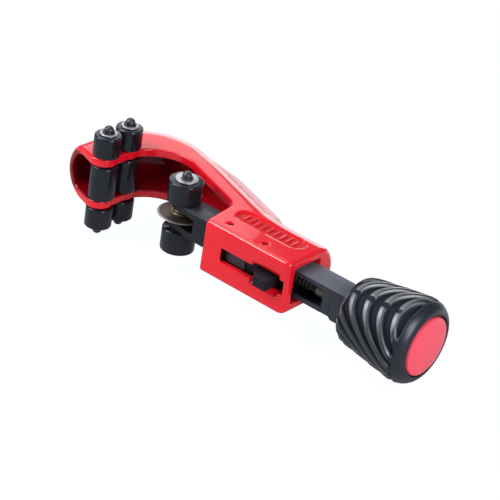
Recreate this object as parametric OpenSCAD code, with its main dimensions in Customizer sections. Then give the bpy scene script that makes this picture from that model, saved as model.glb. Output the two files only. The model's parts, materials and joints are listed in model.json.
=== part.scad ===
// Hand-held tube cutter with a hooked cast frame, six jaw rollers, a sliding
// cutter head on a feed screw, a quick-release half nut and a swirl-ribbed knob.
// Millimetres. The origin is midway between the two jaw axles, in the plane of
// the cutting wheel. +X runs along the feed screw to the knob, +Y to the back of
// the hook and +Z along the roller axles, up.

/* [Rollers and axles] */
// Diameter of the six jaw rollers
jaw_roller_d = 14.4; // [13.8:0.1:14.8]
// Height of the jaw rollers above and below the frame
jaw_roller_h = 11.6; // [8:0.2:16]
// Distance between the two jaw axles
jaw_axle_gap = 16; // [15.6:0.1:17]
// Diameter of the two rollers on the slide
slide_roller_d = 18; // [15:0.5:18.5]
// Height of the two rollers on the slide
slide_roller_h = 11.3; // [8:0.1:14]
// Diameter of the cutting wheel
wheel_d = 25.4; // [23:0.2:25.6]
// Diameter of the roller and wheel axles
axle_d = 5; // [4.6:0.1:5.4]

/* [Frame] */
// Height of the cast frame over both flanges
frame_h = 29; // [28:0.2:34]
// Thickness of the flanges
flange_t = 4.7; // [4:0.1:4.9]
// Thickness of the rounded back
back_t = 4; // [3:0.1:5]
// Bulge of the rounded back behind the flange edge
back_bulge = 8.8; // [7:0.1:10]
// Extra bulge of the palm swell
palm_bulge = 5.6; // [2:0.1:5.6]
// Thickness of the near wall of the housing at its ends
near_wall_t = 5.9; // [5:0.1:6]
// Height of the window in the near wall
window_h = 7.6; // [7.2:0.1:8]

/* [Slide] */
// Width of the slide, across the tube axis
slide_w = 14; // [13.6:0.1:14.2]
// Height of the slide, along the tube axis
slide_h = 15; // [14:0.1:15.2]
// Width of the slot between the fork arms
fork_slot = 7.9; // [7.6:0.1:8.4]
// Outer diameter of the feed screw
screw_d = 8; // [7:0.1:8.2]
// Pitch of the feed screw
screw_pitch = 2.25; // [1.5:0.05:3]

/* [Knob] */
// Largest diameter of the knob
knob_d = 44.4; // [42:0.2:50]
// Length of the knob without its cap
knob_len = 43.5; // [42:0.5:48]
// Depth of the swirl grooves
groove_depth = 2.6; // [1:0.1:3]
// Distance between the swirl grooves
groove_pitch = 8.9; // [8:0.1:12]
// Diameter of the knob cap
cap_d = 31; // [30.6:0.1:31.4]

/* [Hidden] */
$fn = 64;
fine = 96;

// overrun of every cut, and the clearances
over = 0.5;
axle_clear = 0.05;
roller_gap = 0.3;
part_gap = 0.2;
seat_gap = 0.05;

// frame heights
half_h = frame_h / 2;
inner_h = half_h - flange_t;

// back outline of the flanges: a hook arc, a slope to the housing, a straight
hook_x = 12;
hook_y = 12.8;
hook_r = 27.2;
tip_y = -11.3;
slope_angle = 68.8;
blend_r = 20;
back_y = 12.1;
rear_x = 130;
rear_round = 2.5;

// throat outline
throat_x = 25.5;
throat_y = 4.4;
throat_r = 21;
throat_end_x = 74.1;
corner_r = 8.2;
corner_y = 2.9;
boss_shift = 1.5;
boss_r = 7.3;
waist_x = 1.8;
front_x = 76.4;
near_y = 16.2;
near_round = 2.5;

// palm swell: where it rises and where it fades out
palm_rise_x = 18;
palm_full_x = 46;
palm_fade_x = 80;
palm_end_x = 108;

// cavity of the housing
cavity_back_y = 9;
cavity_shut_x = 76;
cavity_full_x = 86;
rail_w = 1.8;
rail_back_end = 124;
rail_front = 78;
side_rail_len = 4;

// release lever, its pins and its pocket
pivot_x = 109;
pivot_y = 9.9;
stop_x = 86;
stop_y = 9.1;
pin_d = 3.6;
pin_recess = 1.5;
hub_r = 3.1;
lever_h = 6.8;
lever_out_y = 12;
lever_arm_t = 2.6;
lever_left_x = 84.2;
nut_left_x = 89.2;
nut_right_x = 101.2;
nut_proud = 0.8;
lever_end_h = 3.6;
lever_right_x = 121.4;
tab_left_x = 113.4;
tab_out = 5.1;
tab_h = 5.6;
tab_bevel = 4.2;
pocket_y = 13.4;
pocket_left_x = 83.4;
arm_pocket_y = 15.1;
arm_pocket_right_x = 88.2;
window_left_x = 87.8;
window_right_x = 127.8;
scallop_left_x = 108;
scallop_right_x = 125;
scallop_h = 2.8;
scallop_depth = 2.6;

// nameplate recess on the top flange, with plain raised bars
plate_left_x = 80.5;
plate_right_x = 123;
plate_mid_y = 3.6;
plate_w = 11.2;
plate_depth = 0.8;
plate_bars = 9;
plate_bar_w = 1.2;
plate_bar_len = 5.6;

// flat pads on top of and under the housing, just proud of the hook's flanges
pad_left_x = 79;
pad_right_x = 127.4;
pad_near_y = 13.2;
pad_back_y = 11.4;
pad_rise = 0.1;

// slide
wheel_x = 48;
arm_tip_r = 5.4;
arm_full_x = 60;
slot_end_x = 61.5;
slide_web = 10;
channel_x = slot_end_x + slide_web;
channel_h = 9.9;
channel_back_t = 2.4;
channel_end_x = 145.4;
keeper_t = 4.9;
keeper_top = 3;
neck_r = 2.9;
step_depth = 1.3;
step_run = 1.4;
slide_end_x = 158.6;
journal_r = 2.6;
journal_len = 5.5;
thread_end_x = 139;
thread_depth = 0.8;

// knob
knob_x = 159.6;
knob_front_r = 12.9;
recess_depth = 13.1;
recess_x = knob_x + knob_len - recess_depth;
recess_r = 14.6;
cap_gap = 0.6;
cap_seat_r = cap_d / 2 + cap_gap;
cap_seat_depth = 1.5;
screw_end_gap = 0.4;
screw_end_x = recess_x - screw_end_gap;
bolt_r = 2;
bolt_len = 12;
bolt_head_r = 4;
bolt_head_h = 2.6;
cap_dome = 2.2;
cap_edge = 1.2;
skirt_len = 4.5;
skirt_t = 1.2;

// axles, washers and clips
washer_t = 0.8;
jaw_washer_r = 4.6;
slide_washer_r = 5.9;
clip_t = 0.7;
clip_groove = 0.5;
clip_wall = 0.75;
axle_dome = 2.2;
axle_tail = 2.9;
low_tail = 0.8;
low_dome = 0.5;
low_roller_extra = 1.3;

// wheel sections
wheel_edge = 0.15;
wheel_web = 1.6;
hub_step_r = 6;
hub_step_h = 1.6;
hub_mid_r = 4.7;
hub_mid_h = 2.8;
hub_top_r = 3.7;

// lever spring: wire, curls and legs
wire_d = 0.6;
curls = 4;
curl_pitch = 1.05;
curl_r = 2.25;
spring_z = 4.1;
spring_leg_x = 6.4;
spring_tip_drop = 2.6;
spring_rear_leg = 6.2;

// plain points of a circular arc
function arc(cx, cy, r, from, to, n) =
    [for (i = [0:n]) let (a = from + (to - from) * i / n) [cx + r * cos(a), cy + r * sin(a)]];
function mix(a, b, t) = a + (b - a) * t;
function clamp01(t) = min(1, max(0, t));
function ease(a, b, x) = let (t = clamp01((x - a) / (b - a))) t * t * (3 - 2 * t);

// the back outline as stations: point and direction of the outward normal
slope_dir = slope_angle - 90;
slope_start = [hook_x + hook_r * cos(slope_angle), hook_y + hook_r * sin(slope_angle)];
slope_len = (slope_start[1] - back_y) / sin(-slope_dir);
blend_len = blend_r * tan(-slope_dir / 2);
blend_start = slope_start + (slope_len - blend_len) * [cos(slope_dir), sin(slope_dir)];
blend_mid = blend_start + blend_r * [cos(slope_angle), sin(slope_angle)];
hook_left = hook_x - hook_r;
straight_x = rear_x - rear_round;
tip_steps = 2;
hook_steps = 14;
slope_steps = 9;
blend_steps = 3;
rear_steps = 3;
stations = concat(
    [for (i = [0:tip_steps - 1]) [hook_left, mix(tip_y, hook_y, i / tip_steps), 180, 0]],
    [for (i = [0:hook_steps]) let (a = mix(180, slope_angle, i / hook_steps))
        [hook_x + hook_r * cos(a), hook_y + hook_r * sin(a), a, 0]],
    [for (i = [1:slope_steps - 1]) let (p = mix(slope_start, blend_start, i / slope_steps))
        [p[0], p[1], slope_angle, 0]],
    [for (i = [0:blend_steps]) let (a = mix(slope_angle, 90, i / blend_steps))
        [blend_mid[0] - blend_r * cos(a), blend_mid[1] - blend_r * sin(a), a, 0]],
    [for (i = [1:rear_steps]) [mix(blend_mid[0], straight_x, i / rear_steps), back_y, 90, 0]],
    [for (a = [30:30:90]) [straight_x + rear_round * sin(a), back_y, 90, rear_round * (1 - cos(a))]]
);
function bulge_at(x) = back_bulge
    + palm_bulge * ease(palm_rise_x, palm_full_x, x) * (1 - ease(palm_fade_x, palm_end_x, x));

// one section of the back: outer arc, flange roots, inner wall
arc_steps = 10;
root = 5.5;
rim = 0.1;
wall_top = inner_h + 0.6;
edge_in = 0.6;
function back_section(st) = let (
        b = bulge_at(st[0]),
        r = (half_h * half_h + b * b) / (2 * b),
        mid = b - r,
        ro = r - st[3],
        ri = r - back_t,
        flat = (cavity_back_y - st[1]) / sin(max(st[2] > 90 ? 90 : st[2], 1)),
        shut = ease(cavity_shut_x, cavity_full_x, st[0]),
        top = half_h - st[3],
        sweep = asin(min(1, top / ro)),
        inner_sweep = asin(wall_top / ri)
    ) concat(
        [for (i = [0:arc_steps]) let (a = mix(-sweep, sweep, i / arc_steps)) [mid + ro * cos(a), ro * sin(a)]],
        [[-root, top], [-root, wall_top]],
        [for (i = [0:arc_steps]) let (a = mix(inner_sweep, -inner_sweep, i / arc_steps))
            [mix(mid + ri * cos(a), flat, shut), ri * sin(a)]],
        [[-root, -wall_top], [-root, -top]]
    );
function placed(st, p) = [st[0] + p[0] * cos(st[2]), st[1] + p[0] * sin(st[2]), p[1]];

// a closed skin over a list of rings with equal counts of points
function ring_faces(rings, n) = concat(
    [for (i = [0:rings - 2], j = [0:n - 1]) let (k = (j + 1) % n) [i * n + j, (i + 1) * n + j, (i + 1) * n + k]],
    [for (i = [0:rings - 2], j = [0:n - 1]) let (k = (j + 1) % n) [i * n + j, (i + 1) * n + k, i * n + k]]
);
function cap_faces(rings, n) = [[for (j = [0:n - 1]) j], [for (j = [n - 1:-1:0]) (rings - 1) * n + j]];

// end of the back as triangles between the outer arc and the inner wall
wall_start = arc_steps + 3;
last_point = wall_start + arc_steps + 2;
function end_triangles() = concat(
    [for (i = [0:arc_steps - 1]) let (w = wall_start + arc_steps - i) each [[i, i + 1, w], [w, i + 1, w - 1]]],
    [[arc_steps, wall_start - 1, wall_start], [arc_steps, wall_start - 2, wall_start - 1]],
    [[0, last_point - 1, last_point], [0, last_point - 2, last_point - 1]]
);

module back_shell() {
    sections = [for (st = stations) [for (p = back_section(st)) placed(st, p)]];
    n = len(sections[0]);
    last = (len(sections) - 1) * n;
    polyhedron(
        points = [for (s = sections, p = s) p],
        faces = concat(ring_faces(len(sections), n), end_triangles(),
            [for (t = end_triangles()) [last + t[0], last + t[2], last + t[1]]]),
        convexity = 10);
}

// plan outline of the flanges, from the hook tip round the back to the throat
slope_tangent = [throat_x + throat_r * cos(slope_angle), throat_y + throat_r * sin(slope_angle)];
corner_x = throat_end_x - corner_r;
corner_top = [corner_x + corner_r * cos(slope_angle), corner_y + corner_r * sin(slope_angle)];
rear_edge = rear_x - edge_in;
hook_end = tip_steps + hook_steps;
turning = concat([for (i = [tip_steps:hook_end]) i], [for (i = [0:blend_steps]) hook_end + slope_steps + i]);
flange_outline = concat(
    [[hook_left + edge_in, tip_y - edge_in]],
    [for (i = turning) let (st = stations[i]) [st[0] - edge_in * cos(st[2]), st[1] - edge_in * sin(st[2])]],
    [[rear_edge, back_y - edge_in], [rear_edge, near_round - near_y], [front_x + edge_in, near_round - near_y]],
    arc(corner_x, corner_y, corner_r, 0, slope_angle, 8),
    arc(throat_x, throat_y, throat_r, slope_angle, 168, 16),
    [[waist_x, 0], [waist_x, -jaw_axle_gap / 2]],
    arc(-boss_shift, -jaw_axle_gap / 2, boss_r - edge_in, -20, -100, 4)
);

module at_jaw_axles() {
    for (side = [-1, 1]) translate([0, side * jaw_axle_gap / 2, 0]) children();
}

module flanges() {
    t = flange_t - rim;
    for (z = [inner_h, rim - half_h]) translate([0, 0, z]) {
        linear_extrude(t) polygon(flange_outline);
        translate([-boss_shift, 0, 0]) at_jaw_axles() cylinder(h = t, r = boss_r);
    }
}

// flat pads that a vice jaw closes on
module housing_pads() {
    for (z = [inner_h + flange_t / 2, -half_h - pad_rise])
        translate([pad_left_x, -pad_near_y, z])
            cube([pad_right_x - pad_left_x, pad_near_y + pad_back_y, flange_t / 2 + pad_rise]);
}

// near wall of the housing, with round outer edges
module near_wall() {
    hull() {
        for (z = [-1, 1]) translate([rear_x - near_round, near_round - near_y, z * (half_h - near_round)])
            sphere(r = near_round, $fn = 32);
        for (z = [-1, 1]) translate([front_x, near_round - near_y, z * (half_h - near_round)])
            rotate([0, 90, 0]) cylinder(h = near_round, r = near_round, $fn = 32);
        translate([front_x, near_wall_t - near_y - near_round, -half_h])
            cube([rear_x - front_x, near_round, frame_h]);
    }
}

module slide_rails() {
    rail_bottom = slide_h / 2 + part_gap;
    rail_len = rail_back_end - rail_front;
    side_rail_h = (slide_h - channel_h) / 2 - 2 * part_gap;
    for (y = [-slide_w / 2, -rail_w / 2, slide_w / 2 - rail_w]) for (z = [rail_bottom, -inner_h - over])
        translate([rail_front, y, z]) cube([rail_len, rail_w, inner_h - rail_bottom + over]);
    for (z = [-1, 1]) translate([rail_front, slide_w / 2 + part_gap, z * slide_h / 4 - rail_w / 2])
        cube([rail_len, cavity_back_y + over - slide_w / 2 - part_gap, rail_w]);
    for (z = [-1, 1])
        translate([rail_front, near_wall_t - near_y - over, z * (slide_h / 2 - side_rail_h / 2 - part_gap) - side_rail_h / 2])
            cube([side_rail_len, near_y - near_wall_t - slide_w / 2 - part_gap + over, side_rail_h]);
}

module window_cuts() {
    translate([window_left_x, -near_y - over, -window_h / 2])
        cube([window_right_x - window_left_x, near_wall_t + 2 * over, window_h]);
    translate([pocket_left_x, -pocket_y, over - inner_h])
        cube([window_right_x - pocket_left_x, near_wall_t, 2 * (inner_h - over)]);
    translate([pocket_left_x, -arm_pocket_y, -window_h / 2 - part_gap])
        cube([arm_pocket_right_x - pocket_left_x, arm_pocket_y - pocket_y + over, window_h + 2 * part_gap]);
    translate([scallop_left_x, 0, 0]) rotate([90, 0, 90]) linear_extrude(scallop_right_x - scallop_left_x)
        polygon([[-near_y - over, window_h / 2 + scallop_h * (1 + over / scallop_depth)],
            [scallop_depth - near_y, window_h / 2], [scallop_depth - near_y, -window_h / 2],
            [-near_y - over, -window_h / 2 - scallop_h * (1 + over / scallop_depth)]]);
}

module nameplate_recess() {
    plate_z = half_h + pad_rise - plate_depth;
    r = plate_w / 2;
    run = plate_right_x - plate_left_x - plate_w;
    difference() {
        translate([plate_left_x + r, plate_mid_y, plate_z]) {
            cylinder(h = plate_depth + over, r = r);
            translate([run, 0, 0]) cylinder(h = plate_depth + over, r = r);
            translate([0, -r, 0]) cube([run, plate_w, plate_depth + over]);
        }
        for (i = [0:plate_bars - 1])
            translate([plate_left_x + r + run * i / (plate_bars - 1) - plate_bar_w / 2,
                plate_mid_y - plate_bar_len / 2, plate_z - over])
                cube([plate_bar_w, plate_bar_len, plate_depth + over - plate_bar_w / 4]);
    }
}

module frame_casting() {
    color([0.8, 0.03, 0.04]) difference() {
        union() {
            back_shell();
            flanges();
            difference() {
                near_wall();
                window_cuts();
            }
            slide_rails();
            housing_pads();
        }
        at_jaw_axles() translate([0, 0, -half_h - over])
            cylinder(h = frame_h + 2 * over, r = axle_d / 2 + axle_clear, $fn = fine);
        translate([pivot_x, -pivot_y, -half_h - over])
            cylinder(h = frame_h + 2 * over, r = pin_d / 2 + axle_clear, $fn = fine);
        translate([stop_x, -stop_y, -half_h - over])
            cylinder(h = frame_h + 2 * over, r = pin_d / 2 + axle_clear, $fn = fine);
        nameplate_recess();
    }
}

// straight axle with a dome and a clip groove at both ends
function axle_end(groove_z, tail, dome) = let (r = axle_d / 2, end = groove_z + clip_t / 2 + tail)
    [[0, end], [r * 0.35, end - dome * 0.06], [r * 0.65, end - dome * 0.25], [r * 0.88, end - dome * 0.6],
        [r, end - dome], [r, groove_z + clip_t / 2 + seat_gap], [r - clip_groove, groove_z + clip_t / 2 + seat_gap],
        [r - clip_groove, groove_z - clip_t / 2 - seat_gap], [r, groove_z - clip_t / 2 - seat_gap]];
module axle(top_groove, low_groove, lower_tail, lower_dome) {
    low = axle_end(low_groove, lower_tail, lower_dome);
    rotate_extrude($fn = fine) polygon(concat(axle_end(top_groove, axle_tail, axle_dome),
        [for (i = [len(low) - 1:-1:0]) [low[i][0], -low[i][1]]]));
}

module washer(r) {
    difference() {
        cylinder(h = washer_t, r = r);
        translate([0, 0, -over]) cylinder(h = washer_t + 2 * over, r = axle_d / 2 + axle_clear);
    }
}

// open retaining clip with three inner prongs
module clip() {
    inner = axle_d / 2 - clip_groove + axle_clear;
    outer = inner + clip_groove + clip_wall;
    translate([0, 0, -clip_t / 2]) difference() {
        cylinder(h = clip_t, r = outer);
        translate([0, 0, -over]) cylinder(h = clip_t + 2 * over, r = inner);
        translate([0, -inner, -over]) cube([outer + over, 2 * inner, clip_t + 2 * over]);
        for (a = [55, 125, 180, 235, 305]) rotate(a) translate([inner + clip_groove * 0.4, 0, -over])
            cylinder(h = clip_t + 2 * over, r = clip_groove * 0.9);
    }
}

module roller(d, h) {
    edge = h / 16;
    rotate_extrude($fn = fine) polygon([[axle_d / 2 + axle_clear, 0], [d / 2 - edge, 0], [d / 2, edge],
        [d / 2, h - edge], [d / 2 - edge, h], [axle_d / 2 + axle_clear, h]]);
}

// heights of what is stacked on the jaw axles and on the wheel axle
jaw_roller_z = half_h + roller_gap;
jaw_washer_z = jaw_roller_z + jaw_roller_h + part_gap;
jaw_clip_z = jaw_washer_z + washer_t + part_gap + clip_t / 2;
slide_roller_z = slide_h / 2 + roller_gap;
slide_washer_z = slide_roller_z + slide_roller_h + part_gap;
slide_clip_z = slide_washer_z + washer_t + part_gap + clip_t / 2;
low_washer_z = -slide_washer_z - low_roller_extra - washer_t;
low_clip_z = -slide_clip_z - low_roller_extra;

module jaw_axle(side) {
    color([0.13, 0.13, 0.15]) translate([0, side * jaw_axle_gap / 2, 0]) axle(jaw_clip_z, jaw_clip_z, axle_tail, axle_dome);
}

module jaw_washers() {
    color([0.75, 0.76, 0.78]) at_jaw_axles() for (z = [jaw_washer_z, -jaw_washer_z - washer_t])
        translate([0, 0, z]) washer(jaw_washer_r);
}

module jaw_clips() {
    color([0.1, 0.1, 0.11]) at_jaw_axles() for (z = [jaw_clip_z, -jaw_clip_z])
        translate([0, 0, z]) rotate(-35) clip();
}

module jaw_roller(side, level) {
    h = level == 0 ? 2 * (inner_h - roller_gap) : jaw_roller_h;
    z = level == 0 ? -h / 2 : (level > 0 ? jaw_roller_z : -jaw_roller_z - h);
    color([0.06, 0.06, 0.07]) translate([0, side * jaw_axle_gap / 2, z]) roller(jaw_roller_d, h);
}

module recessed_pin(x, y) {
    color([0.16, 0.16, 0.18]) translate([x, -y, pin_recess - half_h])
        cylinder(h = frame_h - 2 * pin_recess, r = pin_d / 2, $fn = fine);
}

// rocker: half nut on the left arm, thumb tab on the right arm
module release_lever() {
    half = lever_h / 2;
    inner_y = lever_out_y - lever_arm_t;
    color([0.12, 0.12, 0.13]) difference() {
        union() {
            translate([pivot_x, -pivot_y, -half]) cylinder(h = lever_h, r = hub_r, $fn = fine);
            translate([lever_left_x, -lever_out_y, -lever_end_h / 2])
                cube([pivot_x - lever_left_x, lever_out_y - stop_y - pin_d / 2 - seat_gap, lever_end_h]);
            translate([nut_left_x, -lever_out_y - nut_proud, -half])
                cube([nut_right_x - nut_left_x, lever_out_y + nut_proud - screw_d / 4, lever_h]);
            translate([nut_right_x - over, -lever_out_y, -half])
                cube([pivot_x - nut_right_x + over, lever_out_y - stop_y - pin_d / 2 - seat_gap, lever_h]);
            translate([pivot_x, -lever_out_y, -half]) cube([lever_right_x - pivot_x, lever_arm_t, lever_h]);
            translate([0, 0, -tab_h / 2]) linear_extrude(tab_h)
                polygon([[tab_left_x - tab_bevel, -inner_y], [tab_left_x - tab_bevel, -lever_out_y - tab_out / 2],
                    [tab_left_x, -near_y - tab_out], [lever_right_x, -near_y - tab_out], [lever_right_x, -inner_y]]);
        }
        translate([pivot_x, -pivot_y, -half - over])
            cylinder(h = lever_h + 2 * over, r = pin_d / 2 + axle_clear, $fn = fine);
        translate([nut_left_x - over, 0, 0]) rotate([0, 90, 0])
            cylinder(h = nut_right_x - nut_left_x + 2 * over, r = screw_d / 2 + part_gap, $fn = fine);
    }
}

// wire spring round the pivot pin: a front leg on the half nut, a back leg on the wall
leg_mid_y = -pivot_y - curl_r;
front_leg_y = -lever_out_y - wire_d / 2 - part_gap;
rear_leg_y = -pocket_y + wire_d / 2 + part_gap;
rings_per_curl = 8;
spring_path = concat(
    [[pivot_x - spring_leg_x - wire_d, front_leg_y, spring_z - spring_tip_drop],
        [pivot_x - spring_leg_x, front_leg_y, spring_z - wire_d]],
    [[pivot_x - spring_leg_x + wire_d, front_leg_y, spring_z]],
    [for (i = [0:rings_per_curl * curls]) let (a = 360 * i / rings_per_curl - 90)
        [pivot_x + curl_r * cos(a), -pivot_y + curl_r * sin(a), spring_z + curl_pitch * i / rings_per_curl]],
    [[pivot_x + spring_rear_leg, rear_leg_y, spring_z + curl_pitch * curls]]
);
function unit(v) = v / norm(v);
function path_dir(p, i) = unit(p[min(i + 1, len(p) - 1)] - p[max(i - 1, 0)]);
function wire_ring(p, i, r, sides) = let (
        t = path_dir(p, i), s = unit(cross(t, [0, 0, 1])), u = cross(t, s)
    ) [for (k = [0:sides - 1]) let (a = 360 * k / sides) p[i] + r * (cos(a) * s + sin(a) * u)];
wire_sides = 6;
least_gap = min([for (i = [0:len(spring_path) - 1], j = [0:len(spring_path) - 1])
    if (j > i + rings_per_curl / 2) norm(spring_path[i] - spring_path[j])]) - wire_d;
echo("least gap of the lever spring to itself", least_gap);

module lever_spring() {
    points = [for (i = [0:len(spring_path) - 1], p = wire_ring(spring_path, i, wire_d / 2, wire_sides)) p];
    color([0.6, 0.61, 0.63]) polyhedron(points = points,
        faces = concat(ring_faces(len(spring_path), wire_sides), cap_faces(len(spring_path), wire_sides)),
        convexity = 10);
}

// slide: fork, channel for the screw, pocket for the keeper, rear block
module keeper_space(gap) {
    translate([channel_end_x + part_gap - gap, -slide_w / 2 - gap * 10, -slide_h / 2 - gap * 10])
        cube([keeper_t + 2 * gap, slide_w / 2 + screw_d / 2 + gap * 10, slide_h / 2 + keeper_top + gap * 11]);
}

module slide_bar() {
    half_w = slide_w / 2;
    half_z = slide_h / 2;
    step_x = channel_end_x + part_gap + keeper_t;
    color([0.11, 0.11, 0.12]) difference() {
        union() {
            translate([0, 0, -half_z]) linear_extrude(slide_h)
                polygon([[wheel_x, -arm_tip_r], [arm_full_x, -half_w], [slide_end_x, -half_w],
                    [slide_end_x, half_w], [arm_full_x, half_w], [wheel_x, arm_tip_r]]);
            translate([wheel_x, 0, -half_z]) cylinder(h = slide_h, r = arm_tip_r, $fn = fine);
            translate([0, half_w, 0]) rotate([90, 0, 0]) linear_extrude(slide_w)
                polygon([[step_x, -half_z], [step_x + step_run, -half_z - step_depth],
                    [slide_end_x, -half_z - step_depth], [slide_end_x, -half_z]]);
        }
        translate([wheel_x - arm_tip_r - over, -half_w - over, -fork_slot / 2])
            cube([slot_end_x - wheel_x + arm_tip_r + over, slide_w + 2 * over, fork_slot]);
        translate([wheel_x, 0, -half_z - over]) cylinder(h = slide_h + 2 * over, r = axle_d / 2 + axle_clear, $fn = fine);
        translate([channel_x, -half_w - over, -channel_h / 2])
            cube([channel_end_x - channel_x, slide_w - channel_back_t + over, channel_h]);
        translate([channel_x - journal_len, 0, 0]) rotate([0, 90, 0])
            cylinder(h = journal_len + over, r = journal_r + axle_clear, $fn = fine);
        translate([channel_end_x - over, 0, 0]) rotate([0, 90, 0])
            cylinder(h = slide_end_x - channel_end_x + 2 * over, r = screw_d / 2 + axle_clear, $fn = fine);
        keeper_space(seat_gap);
    }
}

// plate that straddles the neck of the screw from below
module screw_keeper() {
    color([0.13, 0.13, 0.14]) difference() {
        keeper_space(0);
        translate([channel_end_x - over, 0, 0]) rotate([0, 90, 0])
            cylinder(h = keeper_t + 3 * over, r = neck_r + axle_clear, $fn = fine);
        translate([channel_end_x - over, -neck_r - axle_clear, 0])
            cube([keeper_t + 3 * over, 2 * (neck_r + axle_clear), keeper_top + over]);
    }
}

module wheel_axle() {
    color([0.13, 0.13, 0.15]) translate([wheel_x, 0, 0]) axle(slide_clip_z, -low_clip_z, low_tail, low_dome);
}

// thin bevelled disc with a stepped hub, centred on its own axis
module wheel_blank() {
    hub_half = fork_slot / 2 - part_gap;
    bore = axle_d / 2 + axle_clear;
    upper = [[bore, hub_half], [hub_top_r, hub_half], [hub_top_r, hub_mid_h], [hub_mid_r, hub_mid_h],
        [hub_mid_r, hub_step_h], [hub_step_r, hub_step_h], [hub_step_r, wheel_web / 2], [wheel_d / 2, wheel_edge / 2]];
    rotate_extrude($fn = fine)
        polygon(concat(upper, [for (i = [len(upper) - 1:-1:0]) [upper[i][0], -upper[i][1]]]));
}

module cutter_wheel() {
    color([0.55, 0.52, 0.47]) translate([wheel_x, 0, 0]) wheel_blank();
}

module slide_roller(side) {
    h = slide_roller_h + (side > 0 ? 0 : low_roller_extra);
    z = side > 0 ? slide_roller_z : -slide_roller_z - h;
    color([0.06, 0.06, 0.07]) translate([wheel_x, 0, z]) roller(slide_roller_d, h);
}

module slide_washers() {
    color([0.75, 0.76, 0.78]) for (z = [slide_washer_z, low_washer_z])
        translate([wheel_x, 0, z]) washer(slide_washer_r);
}

module slide_clips() {
    color([0.1, 0.1, 0.11]) for (z = [slide_clip_z, low_clip_z]) translate([wheel_x, 0, z]) rotate(200) clip();
}

// feed screw: front journal, ringed thread, shank, neck for the keeper, knob stem
module feed_screw() {
    r = screw_d / 2;
    start = channel_x + part_gap;
    turns = floor((thread_end_x - start) / screw_pitch);
    neck = channel_end_x + part_gap;
    teeth = [for (i = [0:turns - 1], p = [[0, r - thread_depth], [0.35, r], [0.6, r], [0.95, r - thread_depth]])
        [start + (i + p[0]) * screw_pitch, p[1]]];
    profile = concat(
        [[channel_x - journal_len + part_gap, 0], [channel_x - journal_len + part_gap, journal_r], [start, journal_r]],
        teeth,
        [[start + turns * screw_pitch, r - thread_depth], [start + turns * screw_pitch, r],
            [neck - part_gap, r], [neck - part_gap, neck_r], [neck + keeper_t + part_gap, neck_r],
            [neck + keeper_t + part_gap, r], [screw_end_x, r], [screw_end_x, 0]]);
    color([0.35, 0.34, 0.33]) difference() {
        rotate([0, 90, 0]) rotate([0, 0, 180]) mirror([1, 0, 0]) rotate_extrude($fn = fine)
            polygon([for (p = profile) [p[1], p[0]]]);
        translate([screw_end_x - bolt_len - over, 0, 0]) rotate([0, 90, 0])
            cylinder(h = bolt_len + 2 * over, r = bolt_r + axle_clear, $fn = fine);
    }
}

module ring_on_screw(x, t, r_out, r_in) {
    translate([x, 0, 0]) rotate([0, 90, 0]) difference() {
        cylinder(h = t, r = r_out, $fn = fine);
        translate([0, 0, -over]) cylinder(h = t + 2 * over, r = r_in, $fn = fine);
    }
}

module thrust_washer() {
    gap = (knob_x - slide_end_x - washer_t) / 2;
    color([0.7, 0.7, 0.72]) ring_on_screw(slide_end_x + gap, washer_t, slide_w / 2, screw_d / 2 + axle_clear);
}

// knob profile as shares of its length and of its largest radius
knob_profile_share = [[0, 0.58], [0.023, 0.675], [0.07, 0.766], [0.125, 0.802], [0.24, 0.838], [0.38, 0.874],
    [0.52, 0.923], [0.63, 0.95], [0.75, 0.991], [0.82, 1], [0.91, 0.955], [0.97, 0.874], [1, 0.766]];
ring_start_share = 0.9;
collar_end_share = 0.09;
apex_angle = 122.5;
sweep_run = 30;
sweep_power = 2;
first_groove = 9.9;
side_fade = 0.5;
knob_rings = 34;
knob_sides = 64;
function profile_r(s) = knob_d / 2 * lookup(s, knob_profile_share);
// share of the way from one seam to halfway round to the next
function off_seam(a) = let (t = ((a - apex_angle) % 180 + 180) % 180) min(t, 180 - t) / 90;
function swirl(a) = sweep_run * pow(off_seam(a), sweep_power);
function groove_at(x, a) = let (
        s = x / knob_len,
        t = (x - first_groove - swirl(a)) / groove_pitch,
        reach = ease(0, collar_end_share, s) * (1 - ease(ring_start_share - 0.05, ring_start_share, s))
    ) groove_depth * reach * (1 - side_fade * pow(off_seam(a), 4)) * ease(0.1, 0.9, 0.5 + 0.5 * cos(360 * t));
// rings bunch up at the rounded ends
function ring_share(i) = let (t = i / (knob_rings - 1)) mix(t, (1 - cos(180 * t)) / 2, 0.35);

module ribbed_body() {
    rings = [for (i = [0:knob_rings - 1]) let (x = knob_len * ring_share(i))
        [for (j = [0:knob_sides - 1]) let (a = 360 * j / knob_sides, r = profile_r(x / knob_len) - groove_at(x, a))
            [knob_x + x, r * cos(a), r * sin(a)]]];
    polyhedron(points = [for (ring = rings, p = ring) p],
        faces = concat(ring_faces(knob_rings, knob_sides), cap_faces(knob_rings, knob_sides)), convexity = 10);
}

module knob() {
    end_x = knob_x + knob_len;
    color([0.07, 0.07, 0.08]) difference() {
        ribbed_body();
        translate([knob_x - over, 0, 0]) rotate([0, 90, 0])
            cylinder(h = recess_x - knob_x + 2 * over, r = screw_d / 2 + axle_clear, $fn = fine);
        translate([recess_x, 0, 0]) rotate([0, 90, 0])
            cylinder(h = end_x - recess_x + over, r = recess_r, $fn = fine);
        translate([end_x - cap_seat_depth, 0, 0]) rotate([0, 90, 0])
            cylinder(h = cap_seat_depth + over, r = cap_seat_r, $fn = fine);
    }
}

module bolt_washer() {
    color([0.7, 0.7, 0.72]) ring_on_screw(recess_x + seat_gap, washer_t, bolt_head_r + washer_t, bolt_r + axle_clear);
}

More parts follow.
